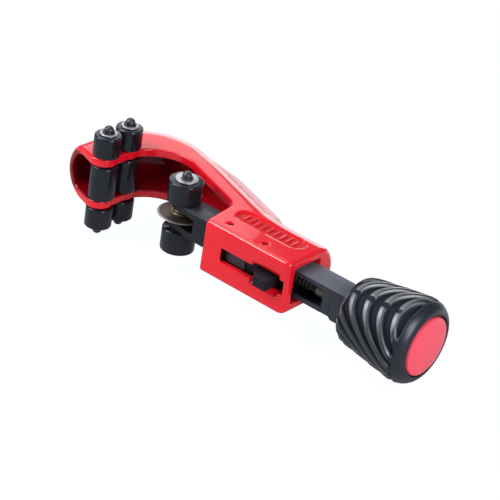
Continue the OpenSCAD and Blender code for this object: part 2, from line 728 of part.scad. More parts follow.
module knob_bolt() {
    head_x = recess_x + seat_gap + washer_t + seat_gap;
    color([0.6, 0.6, 0.62]) translate([head_x, 0, 0]) rotate([0, 90, 0]) difference() {
        union() {
            cylinder(h = bolt_head_h, r = bolt_head_r, $fn = fine);
            translate([0, 0, -bolt_len]) cylinder(h = bolt_len + over, r = bolt_r, $fn = fine);
        }
        translate([0, 0, bolt_head_h / 2]) cylinder(h = bolt_head_h, r = bolt_r, $fn = 6);
    }
}

// cap: domed disc, snap skirt and a spigot that carries the spare wheel
cap_x = knob_x + knob_len - cap_seat_depth + part_gap;
spare_x = cap_x - fork_slot / 2;
module knob_cap() {
    r = cap_d / 2;
    spigot = fork_slot - part_gap;
    skirt_r = recess_r - axle_clear;
    dome_steps = 6;
    dome = [for (i = [0:dome_steps]) let (a = 90 * i / dome_steps)
        [r * cos(a), cap_edge + cap_dome * sin(a)]];
    color([0.85, 0.16, 0.22]) translate([cap_x, 0, 0]) rotate([0, 90, 0]) {
        rotate_extrude($fn = fine) polygon(concat([[0, 0], [r, 0]], dome));
        translate([0, 0, -skirt_len]) difference() {
            cylinder(h = skirt_len + seat_gap, r = skirt_r, $fn = fine);
            translate([0, 0, -over]) cylinder(h = skirt_len + over, r = skirt_r - skirt_t, $fn = fine);
        }
        translate([0, 0, -spigot]) cylinder(h = spigot + seat_gap, r = axle_d / 2 - seat_gap, $fn = fine);
    }
}

module spare_wheel() {
    color([0.6, 0.58, 0.54]) translate([spare_x, 0, 0]) rotate([0, 90, 0]) wheel_blank();
}

frame_casting();
jaw_axle(-1);  // near_jaw_axle
jaw_axle(1);  // far_jaw_axle
jaw_washers();
jaw_clips();
jaw_roller(-1, 1);  // near_top_roller
jaw_roller(-1, 0);  // near_middle_roller
jaw_roller(-1, -1);  // near_bottom_roller
jaw_roller(1, 1);  // far_top_roller
jaw_roller(1, 0);  // far_middle_roller
jaw_roller(1, -1);  // far_bottom_roller
recessed_pin(pivot_x, pivot_y);  // lever_pivot_pin
recessed_pin(stop_x, stop_y);  // lever_stop_pin
release_lever();
lever_spring();
slide_bar();
screw_keeper();
wheel_axle();
cutter_wheel();
slide_roller(1);  // slide_top_roller
slide_roller(-1);  // slide_bottom_roller
slide_washers();
slide_clips();
feed_screw();
thrust_washer();
knob();
bolt_washer();
knob_bolt();
knob_cap();
spare_wheel();
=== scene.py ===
"""Tube cutter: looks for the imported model, laid out as an add-on."""

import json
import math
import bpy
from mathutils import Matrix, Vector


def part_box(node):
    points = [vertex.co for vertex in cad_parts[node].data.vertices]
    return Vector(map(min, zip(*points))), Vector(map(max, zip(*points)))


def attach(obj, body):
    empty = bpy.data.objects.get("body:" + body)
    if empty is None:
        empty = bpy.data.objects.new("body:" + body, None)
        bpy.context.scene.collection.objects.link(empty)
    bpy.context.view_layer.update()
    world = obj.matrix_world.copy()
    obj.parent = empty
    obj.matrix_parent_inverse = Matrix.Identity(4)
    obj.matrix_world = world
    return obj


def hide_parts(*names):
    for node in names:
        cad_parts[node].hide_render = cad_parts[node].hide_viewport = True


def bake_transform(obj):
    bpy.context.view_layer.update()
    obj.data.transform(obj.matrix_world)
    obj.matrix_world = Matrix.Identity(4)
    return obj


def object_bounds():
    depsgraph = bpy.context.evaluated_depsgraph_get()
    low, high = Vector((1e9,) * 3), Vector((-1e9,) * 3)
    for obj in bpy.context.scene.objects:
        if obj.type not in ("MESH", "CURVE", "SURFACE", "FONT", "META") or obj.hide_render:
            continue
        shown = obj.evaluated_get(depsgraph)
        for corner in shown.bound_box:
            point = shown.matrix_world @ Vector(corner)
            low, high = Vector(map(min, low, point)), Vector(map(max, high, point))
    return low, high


bl_info = {
    "name": "Tube cutter",
    "version": (1, 0, 0),
    "blender": (4, 5, 0),
    "location": "View3D > Sidebar > Tube cutter",
    "description": "Dresses a hooked one-hand tube cutter and its plain studio stage",
    "category": "Object",
}

import bmesh
import bpy
import numpy as np
from bpy.props import FloatProperty, FloatVectorProperty, IntProperty, PointerProperty
from mathutils import Matrix, Vector

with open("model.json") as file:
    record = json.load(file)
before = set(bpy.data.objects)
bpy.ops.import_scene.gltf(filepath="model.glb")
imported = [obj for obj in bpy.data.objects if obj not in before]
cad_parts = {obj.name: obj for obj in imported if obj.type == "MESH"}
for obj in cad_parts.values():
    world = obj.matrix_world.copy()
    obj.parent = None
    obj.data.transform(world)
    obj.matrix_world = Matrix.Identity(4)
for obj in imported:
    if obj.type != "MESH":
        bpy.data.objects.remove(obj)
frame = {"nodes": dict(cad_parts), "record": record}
CAD_LOW, CAD_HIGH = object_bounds()
MM = 0.001


def node_mm(node):
    """Lowest and highest corner of a node, in millimetres."""
    low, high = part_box(node)
    return np.array(low) / MM, np.array(high) / MM


# ---------------------------------------------------------------- sizes

SCREW_LOW, SCREW_HIGH = node_mm("feed_screw")
KNOB_LOW, KNOB_HIGH = node_mm("knob")

# Places in plan of the axles and pins, and the radii of their bores
JAW_AXLES = ((0.0, -8.0), (0.0, 8.0))
WHEEL_X = 48.0
LEVER_PINS = ((109.0, -9.9), (86.0, -9.1))
AXLE_BORE, PIN_BORE = 2.55, 1.85

# Long recess on top of the housing: middle, half the straight run and end radius, with plain bars in it
RECESS_X, RECESS_Y, RECESS_RUN, RECESS_R = 101.75, 3.6, 15.65, 5.6

# Half the height outside and inside, and the wall of the back
HALF, INNER, WALL = 14.5, 9.8, 4.0

# Flange edge in plan: arc of the hook, direction where it ends, straight part behind the housing, blend between
BACK_R, BACK_X, BACK_Y = 27.2, 12.0, 12.8
SLOPE, BACK_LINE, BLEND = 68.8, 12.1, 20.0

# How far the back stands behind the flange edge round the hook, and what the palm swell adds to it and to its bow
SWELL, PALM, PALM_BOW = 8.8, 5.6, 3.8

# Near face of the housing, and the inner face of its near wall
FRONT_Y, WALL_Y = -16.2, -10.3

# Window in the near wall: its ends along X, half its height, and the middle of the thumb's scallop
WINDOW_START, WINDOW_STOP, WINDOW_HALF, THUMB_X = 87.8, 127.8, 3.8, 116.5

# Where the screw's thread starts and ends along X, and where its neck does
THREAD_START, THREAD_STOP = 71.7, 139.0
NECK_START, NECK_STOP = 145.4, 150.7


def colour(name, default, words):
    return FloatVectorProperty(name=name, description=words, subtype="COLOR", size=3, min=0, max=1, default=default)


def length(name, default, words, low=0.01, high=500.0):
    return FloatProperty(name=name, description=words + ", in millimetres", default=default, min=low, max=high)


def angle(name, degrees, words):
    return FloatProperty(name=name, description=words, default=math.radians(degrees), subtype="ANGLE", unit="ROTATION")


def power(name, default, words):
    return FloatProperty(name=name, description="Power of " + words + ", in watts", default=default, min=0)


class CutterColours(bpy.types.PropertyGroup):
    enamel: colour("Enamel", (0.94, 0.009, 0.024), "Red enamel of the cast frame")
    oxide: colour("Oxide", (0.012, 0.0125, 0.017), "Black finish of the rollers")
    slide: colour("Slide", (0.03, 0.034, 0.048), "Dark finish of the slide")
    wheel: colour("Wheel steel", (0.105, 0.09, 0.076), "Ground steel of the cutting wheel")
    screw: colour("Screw steel", (0.16, 0.15, 0.14), "Oiled steel of the feed screw")
    zinc: colour("Zinc", (0.55, 0.56, 0.6), "Bright washers")
    knob: colour("Knob", (0.009, 0.010, 0.015), "Moulded knob")
    cap: colour("Cap", (0.93, 0.075, 0.12), "Cap in the knob's end")


class CastingSizes(bpy.types.PropertyGroup):
    voxel: length("Grain of the skin", 0.64, "Step of the grid that the casting's skin is drawn on", 0.3, 3)
    top_round: length("Top edge round", 0.9, "Fillet between the back and the flat tops")
    housing_round: length("Housing edge round", 2.3, "Fillet along the housing's near edges")
    corner_round: length("Corner round", 3.6, "Fillet of the housing's upright corner")
    rim_round: length("Throat edge round", 0.9, "Fillet along the throat edge of the flanges")
    inner_round: length("Inner edge round", 0.7, "Fillet along the inner edges of the flanges")


class KnobSizes(bpy.types.PropertyGroup):
    groove_depth: length("Groove depth", 2.5, "Depth of the swirl grooves")
    groove_pitch: length("Groove pitch", 8.9, "Distance between the swirl grooves")
    sweep: length("Sweep", 30.0, "How far a groove runs towards the cap over a quarter turn")
    seam_angle: angle("Seam", 122.5, "Angle at which the grooves meet")
    around: IntProperty(name="Points around", description="Points of each ring of the knob's mesh", default=264, min=24)
    along: IntProperty(name="Points along", description="Rings of the knob's mesh", default=150, min=20)


class ScrewSizes(bpy.types.PropertyGroup):
    pitch: length("Pitch", 2.25, "Pitch of the feed screw's thread")
    depth: length("Thread depth", 0.8, "Depth of the feed screw's thread")


class StageSettings(bpy.types.PropertyGroup):
    azimuth: angle("Azimuth", 35.614, "Camera's angle about +Z")
    elevation: angle("Elevation", 28.956, "Camera's angle above the floor")
    roll: angle("Roll", 9.509, "Camera's turn about its own axis")
    distance: length("Distance", 1015.34, "Camera's distance", 10, 5000)
    floor_drop: length("Floor drop", 0.6, "Gap between the lowest axle end and the floor")
    key_power: power("Key light", 2.05, "the lamp in front and above; the top lamp has half of it")
    fill_power: power("Fill light", 1.6, "the lamp on the left; the lamp at the knob's end goes with it")
    rim_power: power("Rim light", 0.55, "the lamp behind on the left; the low lamp behind goes with it")


# ---------------------------------------------------------------- node trees


class Val:
    """A node socket that takes part in arithmetic. high is the larger of two, gauge the size without a sign."""

    def __init__(self, tree, socket):
        self.tree, self.socket = tree, socket

    def _do(self, operation, *others):
        return self.tree.val("ShaderNodeMath", dict(enumerate((self,) + others)), operation=operation)

    def __add__(self, o): return self._do("ADD", o)
    def __sub__(self, o): return self._do("SUBTRACT", o)
    def __mul__(self, o): return self._do("MULTIPLY", o)
    def __truediv__(self, o): return self._do("DIVIDE", o)
    def __pow__(self, o): return self._do("POWER", o)
    def __neg__(self): return self * -1.0
    def __rsub__(self, o): return -self + o
    __radd__ = __add__
    __rmul__ = __mul__

    def cos(self): return self._do("COSINE")
    def fract(self): return self._do("FRACT")
    def high(self, o): return self._do("MAXIMUM", o)
    def atan2(self, o): return self._do("ARCTAN2", o)
    def root(self): return self._do("SQRT")
    def gauge(self): return self._do("ABSOLUTE")

    def ramp(self, low, high):
        """0 below low, 1 above high, smooth between."""
        sockets = {"Value": self, "From Min": low, "From Max": high}
        return self.tree.val("ShaderNodeMapRange", sockets, interpolation_type="SMOOTHSTEP")

    def fall(self, low, high):
        """1 below low, 0 above high, smooth between."""
        return 1.0 - self.ramp(low, high)


class Tree:
    """Adds nodes to a shader or geometry tree."""

    def __init__(self, tree):
        self.tree = tree
        tree.nodes.clear()

    def feed(self, socket, value):
        if isinstance(value, Val):
            self.tree.links.new(value.socket, socket)
        elif isinstance(value, bpy.types.NodeSocket):
            self.tree.links.new(value, socket)
        else:
            socket.default_value = value

    def add(self, kind, sockets=(), **settings):
        """A new node. A socket takes a value, another node's socket or a Val."""
        made = self.tree.nodes.new(kind)
        for key, value in settings.items():
            setattr(made, key, value)
        for key, value in dict(sockets).items():
            self.feed(made.inputs[key], value)
        return made

    def val(self, kind, sockets=(), out=0, **settings):
        """One output of a new node."""
        return Val(self, self.add(kind, sockets, **settings).outputs[out])

    def split(self, vector):
        made = self.add("ShaderNodeSeparateXYZ", {0: vector})
        return [Val(self, made.outputs[i]) for i in range(3)]

    def join(self, x, y, z):
        return self.val("ShaderNodeCombineXYZ", {0: x, 1: y, 2: z})


class Paint(Tree):
    """A material under construction, on object coordinates in millimetres."""

    def __init__(self, name):
        self.material = bpy.data.materials.new(name)
        self.material.use_nodes = True
        super().__init__(self.material.node_tree)
        place = self.val("ShaderNodeTexCoord", out="Object")
        self.place = self.val("ShaderNodeVectorMath", {0: place, "Scale": 1000.0}, operation="SCALE")
        self.x, self.y, self.z = self.split(self.place)

    def noise(self, size, detail=3.0, stretch=(1.0, 1.0, 1.0), rough=0.55):
        """Noise with features about size millimetres across, 0 to 1."""
        scale = tuple(s / size for s in stretch)
        where = self.val("ShaderNodeVectorMath", {0: self.place, 1: scale}, operation="MULTIPLY")
        return self.val("ShaderNodeTexNoise",
            {"Vector": where, "Scale": 1.0, "Detail": detail, "Roughness": rough})

    def mix(self, share, a, b):
        a, b = [v if isinstance(v, Val) or len(v) == 4 else (*v, 1.0) for v in (a, b)]
        return self.val("ShaderNodeMix", {0: share, 6: a, 7: b}, 2, data_type="RGBA")

    def specks(self, size, low, high, detail=2.0):
        """Small specks: 1 where the noise is high, 0 elsewhere."""
        return self.noise(size, detail).ramp(low, high)

    def show(self, shader):
        """Sends a shader node to the material's output."""
        self.add("ShaderNodeOutputMaterial", {0: shader.outputs[0]})
        return self.material

    def finish(self, shade, rough, height, depth, strength, **others):
        """The material: its shade and roughness, a bump of a height and depth in millimetres, and other values."""
        bump = self.val("ShaderNodeBump", {"Height": height, "Distance": depth * MM, "Strength": strength})
        sockets = dict(others, Base_Color=shade, Roughness=rough, Normal=bump)
        values = {key.replace("_", " "): (*v, 1.0) if isinstance(v, tuple) else v for key, v in sockets.items()}
        return self.show(self.add("ShaderNodeBsdfPrincipled", values))


def tone(rgb, factor):
    """A colour made darker or lighter."""
    return tuple(min(1.0, c * factor) for c in rgb)


def enamel(base):
    """Glossy red paint, with painted shade inside the hook, deepest by its tip, and in the long recess."""
    p = Paint("red_enamel")
    blotch = p.noise(26.0, 2.0)
    peel = p.noise(1.6, 2.0)
    sag = p.noise(9.0, 2.0)
    grit = p.specks(0.5, 0.74, 0.8, 3.0)
    shade = p.mix((blotch - 0.3) * 1.2, tone(base, 0.9), tone(base, 1.06))
    shade = p.mix(grit * 0.12, shade, (0.95, 0.55, 0.5))
    # Painted shade inside the hook: darker on the inner faces of the flanges, deepest towards the tip.
    inside = p.z.gauge().fall(INNER, INNER + 1.2) * p.x.fall(75.0, 78.0)
    shade = p.mix(inside * 0.6, shade, tone(base, 0.4))
    shade = p.mix(inside * p.x.fall(-2.0, 14.0) * 0.7, shade, tone(base, 0.12))
    along = ((p.x - RECESS_X).gauge() - RECESS_RUN).high(0.0)
    across = p.y - RECESS_Y
    plate = (along ** 2.0 + across * across).root()
    # Painted shade on the floor of the long recess, round the foot of its bars; there the paint is also rougher and has
    # no coat.
    recess_shade = plate.fall(RECESS_R - 0.5, RECESS_R - 0.1) * p.z.fall(13.55, 14.05) * p.z.ramp(12.0, 12.2)
    shade = p.mix(recess_shade * 0.35, shade, tone(base, 0.25))
    rough = 0.08 + p.noise(4.0, 4.0) * 0.09 + recess_shade * 0.45
    return p.finish(shade, rough, peel * 0.25 + sag, 0.12, 0.5, Coat_Weight=0.3 - recess_shade * 0.3, Coat_Roughness=0.03)


def oxide(base):
    """Turned steel with a black finish, smeared with oil."""
    p = Paint("black_oxide")
    speck = p.specks(0.42, 0.69, 0.74)
    smear = p.noise(5.0, 3.0, (1.0, 1.0, 0.35))
    turned = p.noise(0.35, 2.0, (0.05, 0.05, 1.0))
    shade = p.mix(speck * 0.5, p.mix(smear, tone(base, 0.6), tone(base, 1.7)), (0.35, 0.36, 0.4))
    rough = 0.08 + smear * 0.15 + speck * 0.2
    return p.finish(shade, rough, turned + p.noise(0.8), 0.035, 0.6, Metallic=0.2, Coat_Weight=0.25,
        Coat_Roughness=0.1, Specular_Tint=(0.72, 0.82, 1.0))


def dark_steel(name, base, rough):
    """Bare steel with stains and a few bright specks."""
    p = Paint(name)
    stain = p.noise(3.5, 4.0)
    shade = p.mix(stain, tone(base, 0.7), tone(base, 1.45))
    shade = p.mix(p.specks(0.7, 0.66, 0.72) * 0.35, shade, tone(base, 3.2))
    return p.finish(shade, rough - 0.1 + stain * 0.22, p.noise(0.3) + stain, 0.05, 0.6, Metallic=0.8)


def zinc(base):
    """Bright plating of the washers."""
    p = Paint("bright_zinc")
    smear = p.noise(2.2, 4.0)
    shade = p.mix(smear, tone(base, 0.86), tone(base, 1.1))
    return p.finish(shade, 0.26 + smear * 0.2, p.noise(0.4), 0.03, 0.5, Metallic=0.85)


def wheel_steel(base):
    """Ground bevel with fine rings, an oiled hub and a bright edge."""
    p = Paint("wheel_steel")
    dx, dy = p.x - WHEEL_X, p.y
    reach = (dx * dx + dy * dy).root()
    rings = p.val("ShaderNodeTexNoise",
        {"Vector": p.join(reach * 5.0, p.z * 2.0, 0.0), "Scale": 1.0, "Detail": 3.0})
    stain = p.noise(4.0, 4.0)
    edge = reach.ramp(11.2, 12.5)
    shade = p.mix(stain, tone(base, 0.62), tone(base, 1.3))
    shade = p.mix(edge * 0.7, shade, (0.62, 0.6, 0.58))
    shade = p.mix(reach.fall(5.8, 6.2) * 0.55, shade, (0.34, 0.26, 0.15))
    return p.finish(shade, 0.3 + stain * 0.18 - edge * 0.08, rings, 0.06, 0.5, Metallic=0.85)


def slide_finish(base):
    """Blackened steel, with painted shade towards the jaws, greyer on top and towards the knob as a painted sheen, and
    with painted shade in the screw's channel.
    """
    p = Paint("slide_black")
    stain = p.noise(5.0, 4.0)
    # Painted shade towards the jaws and painted sheen towards the knob: darker at the front, lighter at the rear.
    front_shade_rear_sheen = p.x.ramp(120.0, 134.0)
    shade = p.mix(front_shade_rear_sheen, tone(base, 0.45), tone(base, 1.5))
    shade = p.mix(stain * 0.5, shade, tone(base, 0.6))
    # Painted sheen on the top face, strongest towards the knob.
    shade = p.mix(p.z.ramp(7.1, 7.4) * (front_shade_rear_sheen * 0.55 + 0.35), shade, (0.17, 0.175, 0.215))
    # Painted shade in the screw's channel: its walls nearly black.
    channel = p.z.gauge().fall(5.3, 5.6) * p.y.ramp(-6.7, -6.5) * p.x.ramp(62.0, 64.0)
    shade = p.mix(channel * 0.9, shade, tone(base, 0.1))
    shade = p.mix(p.specks(0.7, 0.66, 0.72) * 0.3, shade, tone(base, 3.0))
    brushed = p.noise(0.4, 3.0, (0.2, 1.0, 1.0))
    return p.finish(shade, 0.36 + stain * 0.14, brushed + stain, 0.05, 0.6, Metallic=0.25)


def screw_finish(base):
    """Dark oiled thread, and a collar of barer, brownish steel."""
    p = Paint("screw_steel")
    stain = p.noise(3.5, 4.0)
    collar = p.x.ramp(THREAD_STOP - 0.4, THREAD_STOP + 0.1)
    shade = p.mix(collar, tone(base, 0.25), tone(base, 1.5))
    shade = p.mix(stain * 0.5, shade, tone(base, 0.3))
    return p.finish(shade, 0.26 + stain * 0.2, p.noise(0.3) + stain, 0.05, 0.6, Metallic=0.85)


def lever_finish(base):
    """Black thumb tab, with the half nut's pad rubbed to bare grey."""
    p = Paint("lever_finish")
    pad = p.x.fall(101.2, 101.6) * p.y.fall(-12.6, -12.3)
    stain = p.noise(3.0, 4.0)
    shade = p.mix(stain, tone(base, 0.25), tone(base, 0.7))
    shade = p.mix(pad * (0.7 + stain * 0.3), shade, (0.085, 0.082, 0.1))
    return p.finish(shade, 0.46 + stain * 0.16, p.noise(0.5), 0.05, 0.5, Metallic=0.3 + pad * 0.2,
        Specular_IOR_Level=0.35)


def swirl_grooves(x, y, z, pitch, sweep, seam, front, span):
    """Depth of the knob's swirl grooves and of its seam lines at a point, each 0 to 1."""
    side = 1.0 - (((z.atan2(y) - seam) / math.pi).fract() - 0.5).gauge() * 2.0
    along = x - front
    wave = ((along - 9.9 - side ** 2.0 * sweep) / pitch * (2 * math.pi)).cos() * 0.5 + 0.5
    share = along / span
    fade = share.ramp(0.0, 0.09) * share.fall(0.86, 0.905)
    line = side.fall(0.018, 0.055) * share.ramp(0.02, 0.06) * share.fall(0.7, 0.8)
    return wave.ramp(0.12, 0.88) * fade * (1.0 - side ** 4.0 * 0.5), line


def knob_plastic(base, pitch, sweep, seam):
    """Moulded black plastic: glossy ribs, dull grooves darkened with painted shade, as are the seam lines, and a duller
    ring round the cap.
    """
    p = Paint("knob_plastic")
    front, span = float(KNOB_LOW[0]), float(KNOB_HIGH[0] - KNOB_LOW[0])
    groove, line = swirl_grooves(p.x, p.y, p.z, pitch, sweep, seam, front, span)
    low = groove.ramp(0.25, 0.8).high(line)
    ring = p.x.ramp(float(KNOB_HIGH[0]) - 7.5, float(KNOB_HIGH[0]) - 6.0)
    cloud = p.noise(12.0)
    scuff = p.noise(2.4, 6.0, (1.0, 0.3, 0.3), 0.7).ramp(0.6, 0.74)
    dust = p.specks(0.6, 0.68, 0.75)
    shade = p.mix(scuff * 0.35 + dust * 0.12, p.mix(cloud, tone(base, 0.7), tone(base, 1.5)), (0.22, 0.22, 0.23))
    # Painted shade in the swirl grooves and the seam lines: darker there.
    shade = p.mix(low * 0.8, shade, tone(base, 0.3))
    rough = 0.36 + cloud * 0.12 + scuff * 0.16 + low * 0.2
    return p.finish(shade, rough, p.noise(0.45, 2.0) + scuff * 0.4, 0.05, 0.6, Specular_IOR_Level=0.4,
        Specular_Tint=(0.62, 0.72, 1.0), Coat_Weight=(1.0 - low) * (0.95 - ring * 0.65), Coat_Roughness=0.33,
        Coat_IOR=1.85)


def cap_plastic(base):
    """Satin red plastic."""
    p = Paint("cap_plastic")
    shade = p.mix(p.noise(9.0), tone(base, 0.93), tone(base, 1.05))
    rough = 0.34 + p.noise(3.0, 4.0) * 0.12
    return p.finish(shade, rough, p.noise(0.7, 2.0), 0.025, 0.5, Coat_Weight=0.25, Coat_Roughness=0.2)


FINISHES = {}


def finishes():
    """Materials by slot name, and the lever's by its own, made once."""
    if not FINISHES:
        tint, grip = bpy.context.scene.cutter_colours, bpy.context.scene.cutter_knob
        FINISHES.update(
            frame_red=enamel(tint.enamel), roller_black=oxide(tint.oxide),
            axle_dark=dark_steel("axle_steel", (0.085, 0.08, 0.08), 0.34),
            washer_steel=zinc(tint.zinc), slide_black=slide_finish(tint.slide),
            wheel_steel=wheel_steel(tint.wheel), screw_steel=screw_finish(tint.screw),
            spring_steel=dark_steel("spring_wire", (0.3, 0.3, 0.31), 0.3),
            knob_black=knob_plastic(tint.knob, grip.groove_pitch, grip.sweep, grip.seam_angle),
            cap_red=cap_plastic(tint.cap), lever=lever_finish(tint.slide))
    return FINISHES


# ---------------------------------------------------------------- mesh helpers


BODIES = {node: body for body, members in frame["record"]["behaviour"]["bodies"].items() for node in members}
SLOTS = {entry["node"]: entry["material_slot"] for entry in frame["record"]["subparts"]}


def seat(piece, node, paint=None):
    """Gives a finished piece its finish and its body, and hides the node that it stands for."""
    if not piece.data.materials:
        piece.data.materials.append(finishes()[paint or SLOTS[node]])
    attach(piece, BODIES[node])
    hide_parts(node)


def place_object(name, data):
    """A new object in the scene."""
    made = bpy.data.objects.new(name, data)
    bpy.context.scene.collection.objects.link(made)
    return made


def smooth(piece, sharp):
    """Smooth shading, crisp at edges over the sharp angle. A sharp angle of 0 leaves no edge crisp."""
    piece.data.shade_smooth()
    if sharp:
        piece.data.set_sharp_from_angle(angle=math.radians(sharp))


def piece_from(name, points, faces, sharp=0):
    """A mesh object from points in millimetres."""
    mesh = bpy.data.meshes.new(name)
    mesh.from_pydata((np.asarray(points, float) * MM).tolist(), [], [tuple(int(i) for i in f) for f in faces])
    mesh.validate()
    made = place_object(name, mesh)
    smooth(made, sharp)
    return made


def lathe(name, profile, around, sharp, upright=None):
    """Turns a closed profile of (radius, height) about the X axis, or about an upright one through a place in plan."""
    turn = np.linspace(0, 2 * math.pi, around, endpoint=False)
    points, rows = [], []
    for r, h in profile:
        if r < 1e-6:
            points.append((0.0, 0.0, h))
            rows.append([len(points) - 1] * around)
        else:
            rows.append(list(range(len(points), len(points) + around)))
            points.extend((r * math.cos(t), r * math.sin(t), h) for t in turn)
    faces = []
    closed = profile[0][0] > 1e-6
    for i in range(len(rows) if closed else len(rows) - 1):
        a, b = rows[i], rows[(i + 1) % len(rows)]
        for j in range(around):
            k = (j + 1) % around
            face = []
            for corner in (a[j], a[k], b[k], b[j]):
                if corner not in face:
                    face.append(corner)
            if len(face) > 2:
                faces.append(face)
    points = np.array(points)
    if upright is None:
        points = points[:, [2, 0, 1]]
    else:
        points[:, :2] += upright
    made = piece_from(name, points, faces)
    mend_normals(made)
    smooth(made, sharp)
    return made


def round_node(node):
    """Middle in plan, radius, lowest and highest z of an upright round node, in millimetres."""
    low, high = node_mm(node)
    return (low + high)[:2] / 2, (high[0] - low[0]) / 2, low[2], high[2]


def mend_normals(piece):
    """Welds double points and turns every face outwards."""
    edit = bmesh.new()
    edit.from_mesh(piece.data)
    bmesh.ops.remove_doubles(edit, verts=edit.verts, dist=1e-7)
    bmesh.ops.recalc_face_normals(edit, faces=edit.faces)
    edit.to_mesh(piece.data)
    edit.free()


def settle(piece):
    """Turns a piece with modifiers into a plain mesh."""
    bpy.context.view_layer.update()
    seen = piece.evaluated_get(bpy.context.evaluated_depsgraph_get())
    mesh = bpy.data.meshes.new_from_object(seen)
    piece.modifiers.clear()
    old = piece.data
    piece.data = mesh
    bpy.data.meshes.remove(old)
    mesh.name = piece.name


def bare_copy(node):
    """A new object with a node's mesh and no material."""
    mesh = frame["nodes"][node].data.copy()
    mesh.materials.clear()
    return place_object(node + "_finished", mesh)


def softened(node, width, paint=None, segments=3):
    """Stands a copy of a node with rounded edges in its place."""
    made = bare_copy(node)
    edit = bmesh.new()
    edit.from_mesh(made.data)
    bmesh.ops.remove_doubles(edit, verts=edit.verts, dist=2e-6)
    bmesh.ops.dissolve_limit(edit, angle_limit=math.radians(0.6), verts=edit.verts, edges=edit.edges)
    edit.to_mesh(made.data)
    edit.free()
    bevel = made.modifiers.new("round", "BEVEL")
    bevel.width, bevel.segments, bevel.limit_method = width * MM, segments, "ANGLE"
    bevel.angle_limit = math.radians(32)
    bevel.use_clamp_overlap = True
    settle(made)
    smooth(made, 38)
    seat(made, node, paint)


def bending(node):
    """Stands a copy of a node in its place, with its finish and its transform baked into its mesh."""
    made = bare_copy(node)
    made.data.materials.append(finishes()[SLOTS[node]])
    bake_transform(made)
    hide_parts(node)


def rounded_profile(inner, outer, low, high, edge):
    """A tube's section with rounded outer edges."""
    steps = 3
    points = [(inner, low)]
    for centre_h, start in ((low + edge, -90.0), (high - edge, 0.0)):
        for i in range(steps + 1):
            a = math.radians(start + 90.0 * i / steps)
            points.append((outer - edge + edge * math.cos(a), centre_h + edge * math.sin(a)))
    return points + [(inner, high)]


class Shaping(Tree):
    """A geometry node tree with one geometry in and out and named number inputs."""

    def __init__(self, name, inputs):
        self.group, self.inputs = bpy.data.node_groups.new(name, "GeometryNodeTree"), inputs
        super().__init__(self.group)
        face = self.group.interface
        face.new_socket("Geometry", in_out="INPUT", socket_type="NodeSocketGeometry")
        for key, value in inputs.items():
            face.new_socket(key, in_out="INPUT", socket_type="NodeSocketFloat").default_value = value
        face.new_socket("Geometry", in_out="OUTPUT", socket_type="NodeSocketGeometry")
        begin = self.add("NodeGroupInput")
        self.start = begin.outputs["Geometry"]
        self.values = [Val(self, begin.outputs[key]) for key in inputs]

    def place(self):
        """Each point's place in millimetres."""
        return [v * 1000.0 for v in self.split(self.val("GeometryNodeInputPosition"))]

    def draw_in(self, x, y, z, share):
        """Moves each point towards the X axis: share is what stays of its distance."""
        place = self.join(x * MM, y * share * MM, z * share * MM)
        return self.add("GeometryNodeSetPosition", {"Geometry": self.start, "Position": place})

    def dress(self, piece, last, slot):
        """Runs the tree on a piece, paints it and keeps the result as a plain mesh."""
        painted = self.add("GeometryNodeSetMaterial",
            {"Geometry": last.outputs[0], "Material": finishes()[slot]})
        self.add("NodeGroupOutput", {"Geometry": painted.outputs[0]})
        run = piece.modifiers.new(self.group.name, "NODES")
        run.node_group = self.group
        for item in self.group.interface.items_tree:
            if item.in_out == "INPUT" and item.name in self.inputs:
                run[item.identifier] = self.inputs[item.name]
        settle(piece)


# ---------------------------------------------------------------- the casting


def arc(cx, cy, r, start, stop, steps):
    """Points of an arc in plan, with its angles in degrees."""
    turns = np.radians(np.linspace(start, stop, steps))
    return [(cx + r * math.cos(a), cy + r * math.sin(a)) for a in turns]


def back_line():
    """Plan of the flanges' back edge, run on past both ends."""
    run = math.radians(SLOPE)
    out, heading = np.array([math.cos(run), math.sin(run)]), np.array([math.sin(run), -math.cos(run)])
    start = (BACK_X, BACK_Y) + BACK_R * out
    reach = (start[1] - BACK_LINE) / math.cos(run) - BLEND * math.tan((math.pi / 2 - run) / 2)
    mid = start + reach * heading + BLEND * out
    points = [(BACK_X - BACK_R, -60.0), (BACK_X - BACK_R, -11.3)]
    points += arc(BACK_X, BACK_Y, BACK_R, 180.0, SLOPE, 240)
    points += [tuple(start + (reach * i / 30) * heading) for i in range(1, 30)]
    points += arc(*mid, -BLEND, SLOPE, 90.0, 48)
    points += [(x, BACK_LINE) for x in np.linspace(mid[0] + 2, 190.0, 40)]
    return np.array(points)


def throat_line():
    """Plan of everything but the back: tip, bosses, throat, corner and front face."""
    points = [(-60.0, -6.5), (-24.0, -9.6), (-14.2, -11.3)]
    points += arc(-1.5, -8.0, 7.3, -118.0, 28.0, 20)
    points += arc(-1.5, 8.0, 7.3, -28.0, 22.0, 8)
    points += arc(25.5, 4.4, 21.0, 163.0, SLOPE, 30)
    points += arc(65.9, 2.9, 8.2, SLOPE, 0.0, 14)
    points += [(76.4, FRONT_Y), (81.0, -60.0), (190.0, -60.0), (190.0, 90.0), (-60.0, 90.0)]
    return np.array(points)


def distance_to(line, points, closed=False):
    """Distance from each point to a line of points, the nearest segment and the share along it."""
    a = line
    b = np.roll(line, -1, 0)
    if not closed:
        a, b = a[:-1], b[:-1]
    best = np.full(len(points), 1e9)
    which = np.zeros(len(points), int)
    share = np.zeros(len(points))
    for i in range(len(a)):
        d = b[i] - a[i]
        w = points - a[i]
        t = np.clip((w @ d) / (d @ d), 0, 1)
        gap = np.hypot(w[:, 0] - t * d[0], w[:, 1] - t * d[1])
        near = gap < best
        best[near], which[near], share[near] = gap[near], i, t[near]
    return best, which, share


def smooth_step(low, high, x):
    """0 below low, 1 above high, smooth between."""
    t = np.clip((x - low) / (high - low), 0, 1)
    return t * t * (3 - 2 * t)


def bulge(x):
    """How far the rounded back stands behind the flange edge."""
    return SWELL + PALM * smooth_step(18, 46, x) * (1 - smooth_step(80, 108, x))


